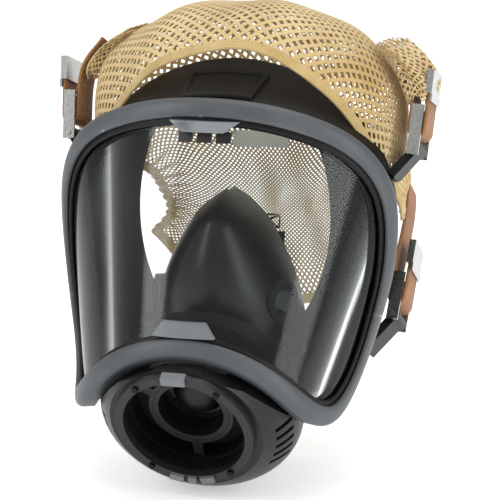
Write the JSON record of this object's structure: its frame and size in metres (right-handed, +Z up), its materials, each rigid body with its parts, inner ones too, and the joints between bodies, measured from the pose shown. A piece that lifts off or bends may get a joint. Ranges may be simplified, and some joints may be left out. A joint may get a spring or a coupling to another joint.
{
  "type": "full face respirator",
  "caption": "Full face respirator: wraparound lens in a clamping ring, rubber face piece, nose cup, regulator port and a net head harness on buckled straps.",
  "frame": {"origin": "middle of the face opening, where the wearer's face seals", "axes": "-Y straight ahead out of the lens, +Y back through the wearer's head, +Z up, +X towards the wearer's left side"},
  "size_m": [0.1958, 0.2024, 0.2306],
  "materials": {
    "clear_lens": "clear polished polycarbonate",
    "ring_plastic": "satin moulded, mid grey",
    "tab_plastic": "satin moulded, light grey",
    "black_rubber": "soft matt black rubber",
    "soft_rubber": "soft black rubber with a slight sheen",
    "valve_rubber": "thin silicone rubber",
    "housing_plastic": "fine-textured black moulding",
    "plated_steel": "zinc plated",
    "bright_steel": "bright pressed steel",
    "net_fabric": "open aramid mesh, undyed cream",
    "label_fabric": "woven label, blank",
    "patch_fabric": "black hook tape",
    "strap_webbing": "tan woven webbing"
  },
  "bodies": {
    "mask": {"air_dome": "housing_plastic", "brow_clips": "housing_plastic", "brow_tab": "tab_plastic", "buckle_pins": "plated_steel", "chin_tab": "tab_plastic", "component_housing": "housing_plastic", "diaphragm_retainer": "housing_plastic", "exhalation_cover": "housing_plastic", "exhalation_seat": "housing_plastic", "exhalation_spring": "plated_steel", "face_blank": "black_rubber", "head_net": "net_fabric", "housing_screws": "plated_steel", "inlet_seal": "black_rubber", "inlet_spider": "housing_plastic", "inlet_tube": "housing_plastic", "latch_keeper": "tab_plastic", "lens": "clear_lens", "lens_gasket": "black_rubber", "lens_ring_lower": "ring_plastic", "lens_ring_upper": "ring_plastic", "net_label": "label_fabric", "net_patch": "patch_fabric", "nosecup": "soft_rubber", "nosecup_seats": "housing_plastic", "port_key": "tab_plastic", "port_ring": "housing_plastic", "ring_nuts": "plated_steel", "ring_screws": "plated_steel", "speaking_diaphragm": "plated_steel", "strap_lower_left": "strap_webbing", "strap_lower_right": "strap_webbing", "strap_lugs": "black_rubber", "strap_upper_left": "strap_webbing", "strap_upper_right": "strap_webbing", "vent_grille_left": "housing_plastic", "vent_grille_right": "housing_plastic"},
    "buckle_upper_left": {"buckle_frame_upper_left": "bright_steel", "strap_loop_upper_left": "strap_webbing", "strap_tab_upper_left": "bright_steel"},
    "roller_upper_left": {"buckle_roller_upper_left": "bright_steel"},
    "buckle_upper_right": {"buckle_frame_upper_right": "bright_steel", "strap_loop_upper_right": "strap_webbing", "strap_tab_upper_right": "bright_steel"},
    "roller_upper_right": {"buckle_roller_upper_right": "bright_steel"},
    "buckle_lower_left": {"buckle_frame_lower_left": "bright_steel", "strap_loop_lower_left": "strap_webbing", "strap_tab_lower_left": "bright_steel"},
    "roller_lower_left": {"buckle_roller_lower_left": "bright_steel"},
    "buckle_lower_right": {"buckle_frame_lower_right": "bright_steel", "strap_loop_lower_right": "strap_webbing", "strap_tab_lower_right": "bright_steel"},
    "roller_lower_right": {"buckle_roller_lower_right": "bright_steel"},
    "inhalation_valve": {"inhalation_valve": "valve_rubber"},
    "exhalation_valve": {"exhalation_disc": "valve_rubber"},
    "nosecup_valve_left": {"nosecup_disc_left": "valve_rubber"},
    "nosecup_valve_right": {"nosecup_disc_right": "valve_rubber"}
  },
  "joints": [
    {"name": "buckle_upper_left_turn", "type": "hinge", "parent": "mask", "child": "buckle_upper_left", "pos_m": [0.09, 0.017, 0.033], "axis": [0, 0.9592, -0.2827], "range_deg": [-8, 35]},
    {"name": "roller_upper_left_spin", "type": "hinge", "parent": "buckle_upper_left", "child": "roller_upper_left", "pos_m": [0.09061, 0.01982, 0.04257], "axis": [0, 0.9592, -0.2827], "continuous": true},
    {"name": "buckle_upper_right_turn", "type": "hinge", "parent": "mask", "child": "buckle_upper_right", "pos_m": [-0.09, 0.017, 0.033], "axis": [0, -0.9592, 0.2827], "range_deg": [-8, 35]},
    {"name": "roller_upper_right_spin", "type": "hinge", "parent": "buckle_upper_right", "child": "roller_upper_right", "pos_m": [-0.09061, 0.01982, 0.04257], "axis": [0, -0.9592, 0.2827], "continuous": true},
    {"name": "buckle_lower_left_turn", "type": "hinge", "parent": "mask", "child": "buckle_lower_left", "pos_m": [0.08, 0.021, -0.055], "axis": [0, 0.8645, -0.5026], "range_deg": [-20, 35]},
    {"name": "roller_lower_left_spin", "type": "hinge", "parent": "buckle_lower_left", "child": "roller_lower_left", "pos_m": [0.0805, 0.02602, -0.04637], "axis": [0, 0.8645, -0.5026], "continuous": true},
    {"name": "buckle_lower_right_turn", "type": "hinge", "parent": "mask", "child": "buckle_lower_right", "pos_m": [-0.08, 0.021, -0.055], "axis": [0, -0.8645, 0.5026], "range_deg": [-20, 35]},
    {"name": "roller_lower_right_spin", "type": "hinge", "parent": "buckle_lower_right", "child": "roller_lower_right", "pos_m": [-0.0805, 0.02602, -0.04637], "axis": [0, -0.8645, 0.5026], "continuous": true},
    {"name": "inhalation_valve_lift", "type": "slide", "parent": "mask", "child": "inhalation_valve", "axis": [0, 0.8829, 0.4695], "range_m": [0, 0.001], "stiffness_N_per_m": 20, "springref_m": -0.0005},
    {"name": "exhalation_valve_lift", "type": "slide", "parent": "mask", "child": "exhalation_valve", "axis": [0, 0.4695, -0.8829], "range_m": [0, 0.002], "stiffness_N_per_m": 60, "springref_m": -0.003, "deforming": ["exhalation_spring"]},
    {"name": "nosecup_valve_left_lift", "type": "slide", "parent": "mask", "child": "nosecup_valve_left", "axis": [-0.8601, 0.5101, 0], "range_m": [0, 0.001], "stiffness_N_per_m": 20, "springref_m": -0.0005},
    {"name": "nosecup_valve_right_lift", "type": "slide", "parent": "mask", "child": "nosecup_valve_right", "axis": [0.8601, 0.5101, 0], "range_m": [0, 0.001], "stiffness_N_per_m": 20, "springref_m": -0.0005}
  ]
}
